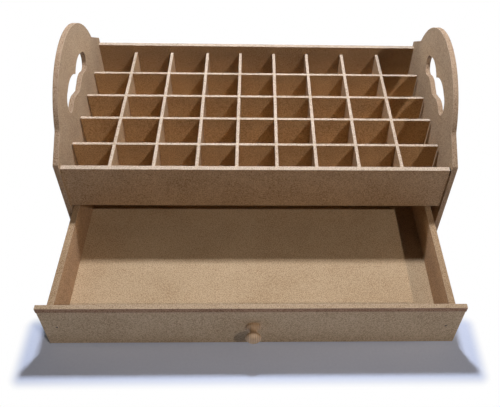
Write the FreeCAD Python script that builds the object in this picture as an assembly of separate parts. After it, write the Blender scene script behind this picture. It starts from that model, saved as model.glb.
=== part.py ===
"""Hobby workstation organizer: a carry tray of small cells above one full-width drawer.

Millimetres. X runs left to right, +Y points to the back and +Z is up. The drawer is modelled as
it stands open in front of the body, a little to the left in its loose bay. The origin is on the
table, under the middle of the whole object with its drawer out.
"""
import FreeCAD
import Part
import math
import os

from FreeCAD import Vector

# Boards
board = 5.0                 # end panels, tray front, back panel and base
front_board = 4.5           # drawer front and the strip on top of it
thin_board = 3.2            # tray floor, drawer floor and dividers
box_board = 6.0             # sides and back of the drawer box

# Body
inner_width = 377.0         # clear width between the two end panels
inner_depth = 206.5         # clear depth of the tray, front panel to back panel
end_overhang = 2.0          # end panels stand past the front and back panels by this
base_gap = 6.7              # table to the underside of the base board
rim_above_dividers = 9.0    # the tray front rises above the dividers
back_rise = 0.5             # the back panel rises above the tray front
ear_rise = 76.3             # top of the carrying ears above the tray front

# Outline of the end panels
ear_radius = 90.0
shoulder_rise = 5.7         # outer end of a shoulder above the tray front
shoulder_climb = 18.2       # rise of a shoulder from its outer end towards the ear
shoulder_run = 27.6         # level distance of that rise
shoulder_corner = 3.0       # corner radius at the shoulder's outer end
ear_hollow = 7.0            # hollow radius between shoulder and ear

# Handle hole: points from the middle outwards, as shares of half its width and of its height
handle_width = 89.0
handle_height = 29.0
handle_below_top = 37.0     # wood between the hole and the top of the ear
handle_top_shares = ((0.0, 0.748), (0.36, 0.995), (0.764, 0.869))
handle_end_shares = ((0.764, 0.869), (1.0, 0.472), (0.921, 0.128))
handle_foot_shares = ((0.921, 0.128), (0.82, 0.062), (0.697, 0.1))
handle_low_shares = ((0.697, 0.1), (0.449, 0.197), (0.202, 0.1))
handle_tip_shares = ((0.202, 0.1), (0.09, 0.052), (0.0, 0.0))

# Dividers of the lift-out grid
divider_height = 38.4
column_shares = (0.1062, 0.3152, 0.5405, 0.7684)    # cross dividers, along half the inner width
row_shares = (0.2034, 0.4029, 0.5909, 0.7959)       # long dividers, along the tray depth
grid_play = 0.5             # cross divider to tray front and back panel
grid_end_play = 1.3         # long divider to end panel, with the grid in the middle
grid_left = 0.6             # the loose grid lies this far to the left
slot_play = 0.2             # halving slots are this much wider than a divider

# Drawer
drawer_box_length = 205.0   # front to back, without the front board
drawer_side_height = 48.0
drawer_lift = 0.3           # running gap between the base board and the drawer sides
drawer_headroom = 4.4       # drawer sides to the tray floor above
drawer_side_play = 4.75     # drawer side to end panel, with the drawer in the middle
drawer_left = 3.5           # the loose drawer stands this far to the left
drawer_open = 114.9         # how far out the drawer stands
front_low = 2.0             # table to the lower edge of the drawer front
cap_height = 6.0            # strip along the top of the drawer front
cap_end_proud = 0.7         # the strip stands past each end of the drawer front
floor_above_side_edge = 4.8     # lower edge of a drawer side to the underside of its floor
groove_depth = 2.5          # grooves in the drawer sides that hold the floor
groove_play = 0.2

# Knob and its screw
knob_height = 28.0          # knob axis above the lower edge of the drawer front
knob_length = 16.0
knob_head_radius = 7.4
knob_base_radius = 6.6
knob_base_length = 1.8
knob_neck_shares = ((0.19, 0.57), (0.38, 0.43))     # shares of length and head radius
knob_cove_shares = ((0.47, 0.5), (0.56, 0.72))
knob_round_shares = ((0.63, 0.93), (0.75, 1.0))
knob_dome_shares = ((0.927, 0.766), (1.0, 0.2))
screw_radius = 1.5
screw_bite = 9.0            # length of screw inside the knob
screw_hole_play = 0.2       # radial, in the drawer front
screw_tip_play = 0.5
screw_head_radius = 3.4
screw_head_length = 2.0
screw_slot_width = 0.9
screw_slot_depth = 0.9

# Brads
brad_radius = 0.6
brad_length = 18.0
brad_head_radius = 1.1
brad_head_length = 0.7
front_brad_shares = (0.2, 0.8)          # heights up the tray front
back_brad_shares = (0.12, 0.42, 0.85)   # heights up the back panel
floor_brad_shares = (-0.6, 0.0, 0.6)    # places along half the tray depth
drawer_front_brad_shares = (0.375,)     # heights up a drawer side
drawer_side_brad_shares = (0.375, 0.75)
drawer_back_brad_shares = (-0.7, 0.0, 0.7)  # places along half the drawer width

overrun = 1.0               # cuts run past the surfaces they open

# Places worked out from the sizes. They are counted from the table under the body's centre
half_inner = inner_width / 2
half_width = half_inner + board
half_tray = inner_depth / 2
half_body = half_tray + board
half_depth = half_body + end_overhang
base_top = base_gap + board
side_low = base_top + drawer_lift
side_top = side_low + drawer_side_height
tray_low = side_top + drawer_headroom
tray_top = tray_low + thin_board
divider_top = tray_top + divider_height
front_top = divider_top + rim_above_dividers
back_top = front_top + back_rise
shoulder = front_top + shoulder_rise
ear_top = front_top + ear_rise
ear_centre = ear_top - ear_radius
handle_low = ear_top - handle_below_top - handle_height

half_box = half_inner - drawer_side_play
half_box_inner = half_box - box_board
box_front = -half_depth - drawer_open
box_back = box_front + drawer_box_length
back_front = box_back - box_board
floor_low = side_low + floor_above_side_edge
floor_top = floor_low + thin_board
cap_low = side_top - cap_height
half_cap = half_width + cap_end_proud
knob_axis = front_low + knob_height
front_face = box_front - front_board
whole_across = (half_width - half_cap - drawer_left) / 2
whole_along = (half_depth + front_face - knob_length) / 2

half_divider = thin_board / 2
rows = [inner_depth * share - half_tray for share in row_shares]
columns = sorted(side * share * half_inner - grid_left for share in column_shares for side in (-1, 1))

parts = {}
drawer = {}


def box(x, y, z):
    """Box between two coordinates on each axis."""
    corner = Vector(x[0], y[0], z[0])
    return Part.makeBox(x[1] - x[0], y[1] - y[0], z[1] - z[0], corner)


def arc(points):
    """Edge of the circle through three points."""
    return Part.Arc(*points).toShape()


def brad(head, direction):
    """Brad whose head is flush at a point and whose shank runs along a direction."""
    shank = Part.makeCylinder(brad_radius, brad_length, head, direction)
    cap = Part.makeCylinder(brad_head_radius, brad_head_length, head, direction)
    return shank.fuse(cap).removeSplitter()


def end_outline(x):
    """Face of an end panel: a round ear between two shoulders that slope down and outwards."""
    slope = math.atan2(shoulder_climb, shoulder_run)
    up_slope = Vector(0, -math.cos(slope), math.sin(slope))
    off_slope = Vector(0, math.sin(slope), math.cos(slope))
    ear_middle = Vector(x, 0, ear_centre)
    outer = Vector(x, half_depth, shoulder)
    # Rounded corner between the upright edge and the shoulder
    back = shoulder_corner / math.tan((math.pi / 2 + slope) / 2)
    low = outer - Vector(0, 0, back)
    corner_middle = low - Vector(0, shoulder_corner, 0)
    bend = corner_middle + (outer - corner_middle).normalize() * shoulder_corner
    high = outer + up_slope * back
    # Hollow that touches the shoulder and the ear's circle
    reach = ear_radius + ear_hollow
    start = outer + off_slope * ear_hollow - ear_middle
    along = start * up_slope
    travel = -along - math.sqrt(along ** 2 - start * start + reach ** 2)
    foot = outer + up_slope * travel
    hollow_middle = foot + off_slope * ear_hollow
    to_ear = (ear_middle - hollow_middle).normalize()
    touch = hollow_middle + to_ear * ear_hollow
    dip = hollow_middle + (to_ear - off_slope).normalize() * ear_hollow
    right = (Vector(x, half_depth, 0), low, bend, high, foot, dip, touch)
    left = [Vector(x, -point.y, point.z) for point in right]
    edges = [Part.makeLine(left[0], right[0])]
    for side in (right, left):
        edges.append(Part.makeLine(side[0], side[1]))
        edges.append(arc(side[1:4]))
        edges.append(Part.makeLine(side[3], side[4]))
        edges.append(arc(side[4:7]))
    edges.append(arc((left[6], Vector(x, 0, ear_top), right[6])))
    return Part.Face(Part.Wire(Part.__sortEdges__(edges)))


def handle_outline(x):
    """Face of the handle hole, a long brace shape with a point at each middle."""
    runs = (handle_top_shares, handle_end_shares, handle_foot_shares, handle_low_shares,
            handle_tip_shares)
    edges = []
    for side in (1, -1):
        for run in runs:
            points = [Vector(x, side * across * handle_width / 2, handle_low + up * handle_height)
                      for across, up in run]
            edges.append(arc(points))
    return Part.Face(Part.Wire(Part.__sortEdges__(edges)))


def end_brads(side):
    """Brads that hold one end panel to the boards between the ends."""
    inward = Vector(-side, 0, 0)
    heads = []
    for share in front_brad_shares:
        height = tray_low + share * (front_top - tray_low)
        heads.append((-half_tray - board / 2, height))
    for share in back_brad_shares:
        height = base_gap + share * (back_top - base_gap)
        heads.append((half_tray + board / 2, height))
    for share in floor_brad_shares:
        heads.append((share * half_tray, tray_low + thin_board / 2))
        heads.append((share * half_tray, base_gap + board / 2))
    return [brad(Vector(side * half_width, y, z), inward) for y, z in heads]


# Body: two end panels joined by the tray front, back, tray floor and base
left_brads = end_brads(-1)
right_brads = end_brads(1)
body_brads = left_brads + right_brads

end_panel = end_outline(0).extrude(Vector(board, 0, 0))
handle_cut = handle_outline(-overrun).extrude(Vector(board + 2 * overrun, 0, 0))
end_panel = end_panel.cut(handle_cut)
left_panel = end_panel.translated(Vector(-half_width, 0, 0))
right_panel = end_panel.translated(Vector(half_inner, 0, 0))
parts["left_end_panel"] = left_panel.cut(left_brads)
parts["right_end_panel"] = right_panel.cut(right_brads)

across = (-half_inner, half_inner)
tray_front = box(across, (-half_body, -half_tray), (tray_low, front_top))
parts["tray_front_panel"] = tray_front.cut(body_brads)
back = box(across, (half_tray, half_body), (base_gap, back_top))
parts["back_panel"] = back.cut(body_brads)
tray_floor = box(across, (-half_tray, half_tray), (tray_low, tray_top))
parts["tray_floor"] = tray_floor.cut(body_brads)
base = box(across, (-half_body, half_tray), (base_gap, base_top))
parts["base_board"] = base.cut(body_brads)

parts["left_end_brads"] = Part.makeCompound(left_brads)
parts["right_end_brads"] = Part.makeCompound(right_brads)

# Grid: long dividers slotted from above, cross dividers slotted from below
slot_half = half_divider + slot_play / 2
slot_reach = divider_height / 2 + slot_play / 2
long_slots = [
    box((x - slot_half, x + slot_half), (-half_tray, half_tray),
        (divider_top - slot_reach, divider_top + overrun)) for x in columns]
cross_slots = [
    box(across, (y - slot_half, y + slot_half), (tray_top - overrun, tray_top + slot_reach))
    for y in rows]
for number, y in enumerate(rows, 1):
    plate = box((-half_inner + grid_end_play - grid_left, half_inner - grid_end_play - grid_left),
                (y - half_divider, y + half_divider), (tray_top, divider_top))
    parts[f"long_divider_{number}"] = plate.cut(long_slots)
for number, x in enumerate(columns, 1):
    plate = box((x - half_divider, x + half_divider),
                (-half_tray + grid_play, half_tray - grid_play), (tray_top, divider_top))
    parts[f"cross_divider_{number}"] = plate.cut(cross_slots)

# Drawer box: two sides grooved for the floor, a back that stands on the floor, a front board.
# The whole drawer is made in the middle and then moved to the left
side_middle = half_box - box_board / 2
front_brads = []
side_brads = []
for side in (-1, 1):
    for share in drawer_front_brad_shares:
        head = Vector(side * side_middle, front_face, side_low + share * drawer_side_height)
        front_brads.append(brad(head, Vector(0, 1, 0)))
    for share in drawer_side_brad_shares:
        head = Vector(side * half_box, box_back - box_board / 2,
                      side_low + share * drawer_side_height)
        side_brads.append(brad(head, Vector(-side, 0, 0)))
floor_brads = []
for share in drawer_back_brad_shares:
    floor_head = Vector(share * half_box_inner, box_back - box_board / 2, floor_low)
    floor_brads.append(brad(floor_head, Vector(0, 0, 1)))

half_floor = half_box_inner + groove_depth - groove_play
groove = box((-half_box_inner - groove_depth, half_box_inner + groove_depth),
             (box_front - overrun, box_back + overrun), (floor_low, floor_top + groove_play))
box_run = (box_front, box_back)
side_z = (side_low, side_top)
left_side = box((-half_box, -half_box_inner), box_run, side_z)
right_side = box((half_box_inner, half_box), box_run, side_z)
drawer["drawer_left_side"] = left_side.cut([groove] + front_brads + side_brads)
drawer["drawer_right_side"] = right_side.cut([groove] + front_brads + side_brads)
drawer_floor = box((-half_floor, half_floor), box_run, (floor_low, floor_top))
drawer["drawer_floor"] = drawer_floor.cut(floor_brads)
drawer_back = box((-half_box_inner, half_box_inner), (back_front, box_back),
                  (floor_top, side_top))
drawer["drawer_back"] = drawer_back.cut(side_brads + floor_brads)

screw_hole = Part.makeCylinder(
    screw_radius + screw_hole_play, front_board + 2 * overrun,
    Vector(0, front_face - overrun, knob_axis), Vector(0, 1, 0))
drawer_front = box((-half_width, half_width), (front_face, box_front), (front_low, cap_low))
drawer["drawer_front"] = drawer_front.cut(front_brads + [screw_hole])
drawer["drawer_cap_strip"] = box(
    (-half_cap, half_cap), (front_face, box_front), (cap_low, side_top))


def knob_point(shares):
    """Point of the knob's outline, from shares of its length and head radius."""
    return Vector(shares[1] * knob_head_radius, front_face - shares[0] * knob_length, knob_axis)


# Turned knob: flat base, thin neck and domed head, held by a screw from inside the drawer
knob_foot = Vector(0, front_face, knob_axis)
knob_edge = Vector(knob_base_radius, front_face, knob_axis)
knob_step = Vector(knob_base_radius, front_face - knob_base_length, knob_axis)
neck = knob_point(knob_neck_shares[1])
cove = knob_point(knob_cove_shares[1])
widest = knob_point(knob_round_shares[1])
flat_edge = knob_point(knob_dome_shares[1])
tip = Vector(0, flat_edge.y, knob_axis)
knob_outline = Part.Wire([
    Part.makeLine(knob_foot, knob_edge),
    Part.makeLine(knob_edge, knob_step),
    arc((knob_step, knob_point(knob_neck_shares[0]), neck)),
    arc((neck, knob_point(knob_cove_shares[0]), cove)),
    arc((cove, knob_point(knob_round_shares[0]), widest)),
    arc((widest, knob_point(knob_dome_shares[0]), flat_edge)),
    Part.makeLine(flat_edge, tip),
    Part.makeLine(tip, knob_foot)])
knob = Part.Face(knob_outline).revolve(knob_foot, Vector(0, 1, 0), 360)
knob_bore = Part.makeCylinder(
    screw_radius, screw_bite + screw_tip_play + overrun,
    Vector(0, front_face + overrun, knob_axis), Vector(0, -1, 0))
drawer["drawer_knob"] = knob.cut(knob_bore)

screw_shank = Part.makeCylinder(
    screw_radius, front_board + screw_bite, Vector(0, box_front, knob_axis), Vector(0, -1, 0))
screw_head = Part.makeCylinder(
    screw_head_radius, screw_head_length, Vector(0, box_front, knob_axis), Vector(0, 1, 0))
screw_back = box_front + screw_head_length
screw_slot = box((-screw_head_radius, screw_head_radius),
                 (screw_back - screw_slot_depth, screw_back + overrun),
                 (knob_axis - screw_slot_width / 2, knob_axis + screw_slot_width / 2))
drawer["knob_screw"] = screw_shank.fuse(screw_head).removeSplitter().cut(screw_slot)
drawer["drawer_front_brads"] = Part.makeCompound(front_brads)
drawer["drawer_side_brads"] = Part.makeCompound(side_brads)
drawer["drawer_floor_brads"] = Part.makeCompound(floor_brads)

for name, shape in drawer.items():
    parts[name] = shape.translated(Vector(-drawer_left, 0, 0))

# The origin moves from the body's centre to the middle of the whole object
to_origin = Vector(-whole_across, -whole_along, 0)
os.makedirs("parts", exist_ok=True)
for name, shape in parts.items():
    shape.translated(to_origin).exportStep(f"parts/{name}.step")
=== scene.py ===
"""Looks of a raw fibreboard hobby organizer: boards, sawn edges, brads and a turned knob."""
import math

import bpy
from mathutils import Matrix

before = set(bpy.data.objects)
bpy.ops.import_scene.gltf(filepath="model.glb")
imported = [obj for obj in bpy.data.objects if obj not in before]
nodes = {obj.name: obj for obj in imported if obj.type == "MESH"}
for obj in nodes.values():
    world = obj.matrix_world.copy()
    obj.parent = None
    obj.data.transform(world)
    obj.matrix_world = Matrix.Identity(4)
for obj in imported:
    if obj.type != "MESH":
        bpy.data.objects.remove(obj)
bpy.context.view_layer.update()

MM = 0.001


def linear(hex_colour):
    """sRGB hex colour as linear RGBA."""
    channels = [int(hex_colour[i:i + 2], 16) / 255 for i in (1, 3, 5)]
    return tuple(
        c / 12.92 if c <= 0.04045 else ((c + 0.055) / 1.055) ** 2.4 for c in channels) + (1.0,)


def add(tree, kind, links=None, **settings):
    """Add a node: settings are its properties, links are values or outputs for its inputs."""
    node = tree.nodes.new("ShaderNode" + kind)
    for name, value in settings.items():
        setattr(node, name, value)
    for key, value in (links or {}).items():
        if isinstance(value, bpy.types.NodeSocket):
            tree.links.new(value, node.inputs[key])
        else:
            node.inputs[key].default_value = value
    return node


def new_material(name):
    """Empty node material, its tree and its output node."""
    material = bpy.data.materials.new(name)
    material.use_nodes = True
    tree = material.node_tree
    tree.nodes.clear()
    return material, tree, add(tree, "OutputMaterial")


# Medium-density fibreboard, unpainted. Its pressed faces are smooth and grey-tan with fine short
# fibres, a few dark bark specks and faint cloudy patches. Its sawn edges are rougher and browner,
# and the arrises are left with a pale fuzz of torn fibres.
FACE = "#CFB58F"
FACE_DARK = "#9B7D57"
EDGE = "#DAC6AB"
EDGE_DARK = "#9F8669"
FUZZ = "#E2CDB4"
SPECK = "#4E3826"
FIBRE = 0.95 * MM            # real fibres are 0.3 mm wide; drawn coarser so that they show
CLOUD = 38 * MM              # size of the cloudy patches
SPECK_PITCH = 9 * MM         # spacing of the places where a speck may be
SPECK_RADIUS = 0.495 * MM
SPECK_SHARE = 0.16           # share of those places that have one
SPECK_STRENGTH = 0.7
ARRIS = 0.55 * MM            # radius of the worn arrises
SPLIT = "#2A1A10"
SPLIT_HALF_WIDTH = 0.45 * MM
SPLIT_WANDER = 0.7 * MM
SPLIT_BOTTOM = 108 * MM      # height at which the split in the tray front ends


def fibreboard(name, face_axis, face=(FACE, FACE_DARK), edge=(EDGE, EDGE_DARK), split_x=None):
    """Raw fibreboard whose pressed faces look along one axis of the object.

    face and edge are its light and dark colours, and split_x the place of a split, if any.
    """
    material, tree, output = new_material(name)
    coords = add(tree, "TexCoord")
    place = coords.outputs["Object"]
    cloud = add(tree, "TexNoise", {"Vector": place, "Scale": 1 / CLOUD, "Detail": 3.0,
                                   "Roughness": 0.55})
    fibre = add(tree, "TexNoise", {"Vector": place, "Scale": 1 / FIBRE, "Detail": 3.0,
                                   "Roughness": 0.75, "Distortion": 0.6})
    mottle = add(tree, "MapRange", {"Value": cloud.outputs["Fac"], "From Min": 0.3,
                                    "From Max": 0.7, "To Min": 0.2, "To Max": 0.5})
    grain = add(tree, "MapRange", {"Value": fibre.outputs["Fac"], "From Min": 0.36,
                                   "From Max": 0.64, "To Min": -0.8, "To Max": 0.8})
    tone = add(tree, "Math", {0: mottle.outputs[0], 1: grain.outputs[0]}, operation="ADD",
               use_clamp=True)
    pressed = add(tree, "MixRGB", {"Fac": tone.outputs[0], "Color1": linear(face[0]),
                                   "Color2": linear(face[1])})
    sawn = add(tree, "MixRGB", {"Fac": tone.outputs[0], "Color1": linear(edge[0]),
                                "Color2": linear(edge[1])})

    # Bark specks: few cells of a coarse pattern hold one, near the middle of the cell
    cells = add(tree, "TexVoronoi", {"Vector": place, "Scale": 1 / SPECK_PITCH,
                                     "Randomness": 1.0})
    near = add(tree, "Math", {0: cells.outputs["Distance"],
                              1: SPECK_RADIUS / SPECK_PITCH}, operation="LESS_THAN")
    pick = add(tree, "SeparateColor", {"Color": cells.outputs["Color"]})
    chosen = add(tree, "Math", {0: pick.outputs[0], 1: SPECK_SHARE}, operation="LESS_THAN")
    speck = add(tree, "Math", {0: near.outputs[0], 1: chosen.outputs[0]}, operation="MULTIPLY")
    speck_soft = add(tree, "Math", {0: speck.outputs[0], 1: SPECK_STRENGTH},
                     operation="MULTIPLY")
    pressed = add(tree, "MixRGB", {"Fac": speck_soft.outputs[0],
                                   "Color1": pressed.outputs[0], "Color2": linear(SPECK)})

    # Faces that look along the board's thin direction are pressed, all others are sawn
    facing = add(tree, "SeparateXYZ", {"Vector": coords.outputs["Normal"]})
    side = add(tree, "Math", {0: facing.outputs[face_axis]}, operation="ABSOLUTE")
    is_face = add(tree, "Math", {0: side.outputs[0], 1: 0.7}, operation="GREATER_THAN")
    surface = add(tree, "MixRGB", {"Fac": is_face.outputs[0], "Color1": sawn.outputs[0],
                                   "Color2": pressed.outputs[0]})

    # Worn arris: where the rounded normal leaves the true one, broken up by the fibres
    rounded = add(tree, "Bevel", {"Radius": ARRIS}, samples=6)
    flat = add(tree, "NewGeometry")
    agree = add(tree, "VectorMath", {0: rounded.outputs[0], 1: flat.outputs["True Normal"]},
                operation="DOT_PRODUCT")
    worn = add(tree, "MapRange", {"Value": agree.outputs["Value"], "From Min": 0.998,
                                  "From Max": 0.9, "To Min": 0.0, "To Max": 1.0})
    torn = add(tree, "MapRange", {"Value": fibre.outputs["Fac"], "From Min": 0.42,
                                  "From Max": 0.6, "To Min": 0.15, "To Max": 0.85})
    fuzz = add(tree, "Math", {0: worn.outputs[0], 1: torn.outputs[0]}, operation="MULTIPLY",
               use_clamp=True)
    colour = add(tree, "MixRGB", {"Fac": fuzz.outputs[0], "Color1": surface.outputs[0],
                                  "Color2": linear(FUZZ)})

    if split_x is not None:
        # A short split in the top edge, near one end of the panel
        at = add(tree, "SeparateXYZ", {"Vector": place})
        away = add(tree, "Math", {0: at.outputs[0], 1: split_x}, operation="SUBTRACT")
        wander = add(tree, "MapRange", {"Value": cloud.outputs["Fac"],
                                        "To Min": -SPLIT_WANDER, "To Max": SPLIT_WANDER})
        offset = add(tree, "Math", {0: away.outputs[0], 1: wander.outputs[0]}, operation="ADD")
        gap = add(tree, "Math", {0: offset.outputs[0]}, operation="ABSOLUTE")
        thin = add(tree, "Math", {0: gap.outputs[0], 1: SPLIT_HALF_WIDTH}, operation="LESS_THAN")
        high = add(tree, "Math", {0: at.outputs[2], 1: SPLIT_BOTTOM}, operation="GREATER_THAN")
        split = add(tree, "Math", {0: thin.outputs[0], 1: high.outputs[0]},
                    operation="MULTIPLY")
        colour = add(tree, "MixRGB", {"Fac": split.outputs[0], "Color1": colour.outputs[0],
                                      "Color2": linear(SPLIT)})

    bump = add(tree, "Bump", {"Height": fibre.outputs["Fac"], "Strength": 0.8,
                              "Distance": 0.25 * MM, "Normal": rounded.outputs[0]})
    shader = add(tree, "BsdfPrincipled", {"Base Color": colour.outputs[0],
                                          "Normal": bump.outputs[0], "Roughness": 0.9,
                                          "IOR": 1.45, "Specular IOR Level": 0.2,
                                          "Sheen Weight": 0.03, "Sheen Roughness": 0.6})
    tree.links.new(shader.outputs[0], output.inputs["Surface"])
    return material


def turned_wood():
    """Turned knob: fine growth lines along the turning axis, sanded, without a shine."""
    material, tree, output = new_material("turned beech, sanded")
    coords = add(tree, "TexCoord")
    stretch = add(tree, "Mapping", {"Vector": coords.outputs["Object"],
                                    "Scale": (1.0, 0.16, 1.0)})
    rings = add(tree, "TexWave", {"Vector": stretch.outputs[0], "Scale": 0.31 / (1.6 * MM),
                                  "Distortion": 3.0, "Detail": 2.0, "Detail Scale": 1.2},
                wave_type="BANDS", bands_direction="X")
    pores = add(tree, "TexNoise", {"Vector": stretch.outputs[0], "Scale": 1 / (0.7 * MM),
                                   "Detail": 2.0})
    tone = add(tree, "Math", {0: rings.outputs["Fac"], 1: pores.outputs["Fac"]},
               operation="MULTIPLY")
    colour = add(tree, "MixRGB", {"Fac": tone.outputs[0], "Color1": linear("#D4B48C"),
                                  "Color2": linear("#7A5434")})
    bump = add(tree, "Bump", {"Height": pores.outputs["Fac"], "Strength": 0.2,
                              "Distance": 0.1 * MM})
    shader = add(tree, "BsdfPrincipled", {"Base Color": colour.outputs[0],
                                          "Normal": bump.outputs[0], "Roughness": 0.55,
                                          "IOR": 1.5})
    tree.links.new(shader.outputs[0], output.inputs["Surface"])
    return material


def steel_with_painted_hole_shade():
    """Wire of the brads and the screw: small dull steel heads whose dark brownish colour is
    painted shade of the holes in which the brad heads sit below the face.
    """
    material, tree, output = new_material("drawn steel, darkened as painted hole shade")
    coords = add(tree, "TexCoord")
    blotch = add(tree, "TexNoise", {"Vector": coords.outputs["Object"],
                                    "Scale": 1 / (0.9 * MM), "Detail": 2.0})
    # Dark brownish tones: painted shade of the holes around the set brad heads, over dull grey
    # steel
    colour = add(tree, "MixRGB", {"Fac": blotch.outputs["Fac"], "Color1": linear("#5A5048"),
                                  "Color2": linear("#3A2E26")})
    rough = add(tree, "MapRange", {"Value": blotch.outputs["Fac"], "To Min": 0.35,
                                   "To Max": 0.6})
    shader = add(tree, "BsdfPrincipled", {"Base Color": colour.outputs[0],
                                          "Roughness": rough.outputs[0], "Metallic": 1.0})
    tree.links.new(shader.outputs[0], output.inputs["Surface"])
    return material


# Greyer end panels with browned sawn edges, which frame the tray
end_boards = fibreboard("raw fibreboard, end panels", 0, face=("#C5AA86", "#8F714F"),
                        edge=("#BCA182", "#7F6245"))
# Warm thin boards whose pale sawn tops draw the grid
long_dividers = fibreboard("thin raw fibreboard, long dividers", 1, face=("#CEAA7D", "#987449"))
cross_dividers = fibreboard("thin raw fibreboard, cross dividers", 0, face=("#CEAA7D", "#987449"))
# The plain board of the drawer's back, and a browner one behind the grid
boards_y = fibreboard("raw fibreboard, faces front and back", 1)
back_board = fibreboard("raw fibreboard, browner faces", 1, face=("#B79771", "#7D5D3B"))
# Floors: pale and softly clouded
boards_z = fibreboard("raw fibreboard, faces up and down", 2)
# Drawer box with brown sawn tops
drawer_sides = fibreboard("raw fibreboard, browner sawn edges", 0, face=("#C4A078", "#8D6A43"),
                          edge=("#C3A681", "#876742"))
# The palest and greyest board, in front of all others
drawer_face = fibreboard("raw fibreboard, greyer faces", 1, face=("#D4BB98", "#9C8261"))
# Strip on the drawer front: pale on top, with a dark sawn front that draws a line
cap_board = fibreboard("raw fibreboard, browned sawn strip", 2, face=("#CBB18F", "#977C5A"),
                       edge=("#B79375", "#79583D"))
# Darker, browner tray front with a short split at its right end
split_board = fibreboard("raw fibreboard, split at one end", 1, face=("#C0A27F", "#826443"),
                         split_x=190.2 * MM)
wood = turned_wood()
# Brads and screw: dull steel, darkened as painted shade of the holes around the heads
steel = steel_with_painted_hole_shade()

finishes = {
    end_boards: ["left_end_panel", "right_end_panel"],
    long_dividers: [f"long_divider_{n}" for n in range(1, 5)],
    cross_dividers: [f"cross_divider_{n}" for n in range(1, 9)],
    back_board: ["back_panel"],
    boards_y: ["drawer_back"],
    boards_z: ["tray_floor", "base_board", "drawer_floor"],
    drawer_sides: ["drawer_left_side", "drawer_right_side"],
    drawer_face: ["drawer_front"],
    cap_board: ["drawer_cap_strip"],
    split_board: ["tray_front_panel"],
    wood: ["drawer_knob"],
    steel: ["left_end_brads", "right_end_brads", "drawer_front_brads", "drawer_side_brads",
            "drawer_floor_brads", "knob_screw"],
}
for finish, names in finishes.items():
    for name in names:
        nodes[name].data.materials.clear()
        nodes[name].data.materials.append(finish)


def seen_background(tree):
    """Node that is 1 where the camera sees the place, also in a reflection or through glass."""
    ray = add(tree, "LightPath")
    direct = add(tree, "Math", {0: ray.outputs["Is Camera Ray"], 1: ray.outputs["Is Glossy Ray"]},
                 operation="MAXIMUM")
    return add(tree, "Math", {0: direct.outputs[0], 1: ray.outputs["Is Transmission Ray"]},
               operation="MAXIMUM")


WHITE = (1.0, 1.0, 1.0, 1.0)
TABLE_HALF = 3.0
PAPER_TOOTH = 2.5 * MM                        # real tooth is far finer; drawn coarser so it shows
SHADOW_MIDDLE = (-2 * MM, -170 * MM, 0.0)     # middle of the drawer's shadow, drawer at rest
SHADOW_HALF = (211 * MM, 26 * MM, 0.0)        # half its width and depth
SHADOW_FADE = 14 * MM                         # over which the table goes over into white
ROOM_LEVEL = 0.025

# Plain pale table. Around the foot of the drawer front, wherever the drawer stands, the table
# shows its own colour and the shadow of the part, and further away it goes over into white
floor_mesh = bpy.data.meshes.new("table")
corners = ((-1, -1), (1, -1), (1, 1), (-1, 1))
floor_mesh.from_pydata([(TABLE_HALF * x, TABLE_HALF * y, 0) for x, y in corners], [],
                       [(0, 1, 2, 3)])
floor = bpy.data.objects.new("table", floor_mesh)
bpy.context.scene.collection.objects.link(floor)
paper, tree, output = new_material("matt white paper")
seen = seen_background(tree)
position = add(tree, "NewGeometry")
tooth = add(tree, "TexNoise", {"Vector": position.outputs["Position"], "Scale": 1 / PAPER_TOOTH,
                               "Detail": 2.0})
tint = add(tree, "MixRGB", {"Fac": tooth.outputs["Fac"], "Color1": linear("#E1EBFB"),
                            "Color2": linear("#D9E3F4")})
matt = add(tree, "BsdfDiffuse", {"Color": tint.outputs[0]})
from_front = add(tree, "TexCoord", object=nodes["drawer_front"])
from_shadow = add(tree, "VectorMath", {0: from_front.outputs["Object"], 1: SHADOW_MIDDLE},
                  operation="SUBTRACT")
each_way = add(tree, "VectorMath", {0: from_shadow.outputs[0]}, operation="ABSOLUTE")
past = add(tree, "VectorMath", {0: each_way.outputs[0], 1: SHADOW_HALF}, operation="SUBTRACT")
outside = add(tree, "VectorMath", {0: past.outputs[0], 1: (0.0, 0.0, 0.0)}, operation="MAXIMUM")
away = add(tree, "VectorMath", {0: outside.outputs[0]}, operation="LENGTH")
far = add(tree, "MapRange", {"Value": away.outputs["Value"], "From Min": 0.0,
                             "From Max": SHADOW_FADE}, interpolation_type="SMOOTHSTEP")
fade = add(tree, "Math", {0: far.outputs[0], 1: seen.outputs[0]}, operation="MULTIPLY")
blank = add(tree, "Emission", {"Color": WHITE, "Strength": 1.0})
sheet = add(tree, "MixShader", {"Fac": fade.outputs[0], 1: matt.outputs[0],
                                2: blank.outputs[0]})
tree.links.new(sheet.outputs[0], output.inputs["Surface"])
floor_mesh.materials.append(paper)

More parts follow.
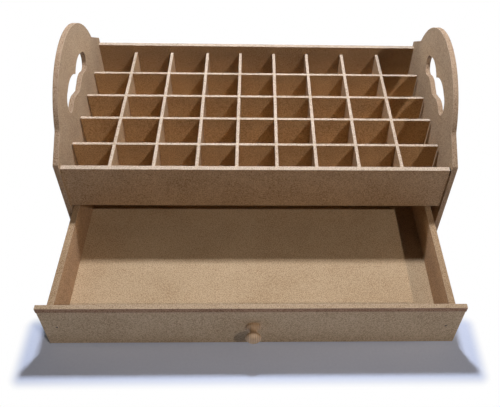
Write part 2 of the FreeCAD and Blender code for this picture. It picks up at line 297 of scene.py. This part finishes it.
# World: even pale room light, seen as white
world = bpy.data.worlds.new("room")
bpy.context.scene.world = world
world.use_nodes = True
tree = world.node_tree
tree.nodes.clear()
seen = seen_background(tree)
room = add(tree, "Background", {"Color": linear("#E0ECFF"), "Strength": ROOM_LEVEL})
white = add(tree, "Background", {"Color": WHITE, "Strength": 1.0})
sky = add(tree, "MixShader", {"Fac": seen.outputs[0], 1: room.outputs[0], 2: white.outputs[0]})
add(tree, "OutputWorld", {"Surface": sky.outputs[0]})


LAMP_TARGET = (0.0, 0.0, 60 * MM)


def lamp(name, direction, distance, size_x, size_y, level, hex_colour):
    """Area lamp in a direction from the object. level is how brightly it lights a card there."""
    light = bpy.data.lights.new(name, "AREA")
    light.shape = "RECTANGLE"
    light.size = size_x
    light.size_y = size_y
    light.color = linear(hex_colour)[:3]
    light.energy = level * (math.pi * distance) ** 2
    source = bpy.data.objects.new(name, light)
    bpy.context.scene.collection.objects.link(source)
    source.visible_camera = False
    length = math.sqrt(sum(c * c for c in direction))
    aim = [c / length for c in direction]
    source.location = [t + distance * a for t, a in zip(LAMP_TARGET, aim)]
    flat = math.hypot(aim[0], aim[1])
    source.rotation_euler = (math.atan2(flat, aim[2]), 0.0, math.atan2(aim[0], -aim[1]))


# A small lamp close above the tray's back, which gives the drawer its shadow; a farther one in
# front to the right, which draws the slanting shadows in the cells; a weak wide one that fills the
# back; and two weak ones, low at the sides, that fill the end panels
lamp("near lamp", (0.012, 0.168, 0.58), 0.604, 0.07, 0.045, 1.2, "#E9EEFF")
lamp("front lamp", (0.62, -0.82, 1.0), 2.1, 0.04, 0.04, 0.27, "#FFF3EF")
lamp("back fill", (0.0, 1.0, 0.05), 2.0, 1.2, 0.3, 0.25, "#FFF6EC")
lamp("left fill", (-1.0, 0.0, 0.03), 2.0, 0.06, 0.06, 0.13, "#FFF6EC")
lamp("right fill", (1.0, 0.0, 0.03), 2.0, 0.06, 0.06, 0.13, "#FFF6EC")

# Camera at the photograph's angle, solved from the straight edges in it
camera_data = bpy.data.cameras.new("camera")
camera = bpy.data.objects.new("camera", camera_data)
bpy.context.scene.collection.objects.link(camera)
camera_data.sensor_width = 36.0
camera_data.lens = 44.15
camera_data.shift_x = -0.0539
camera_data.shift_y = -0.002
camera.location = (0.00086, -0.4661, 0.5265)
camera.rotation_euler = [math.radians(a) for a in (42.938, -1.526, -1.210)]
bpy.context.scene.camera = camera
bpy.context.scene.view_settings.view_transform = "Standard"
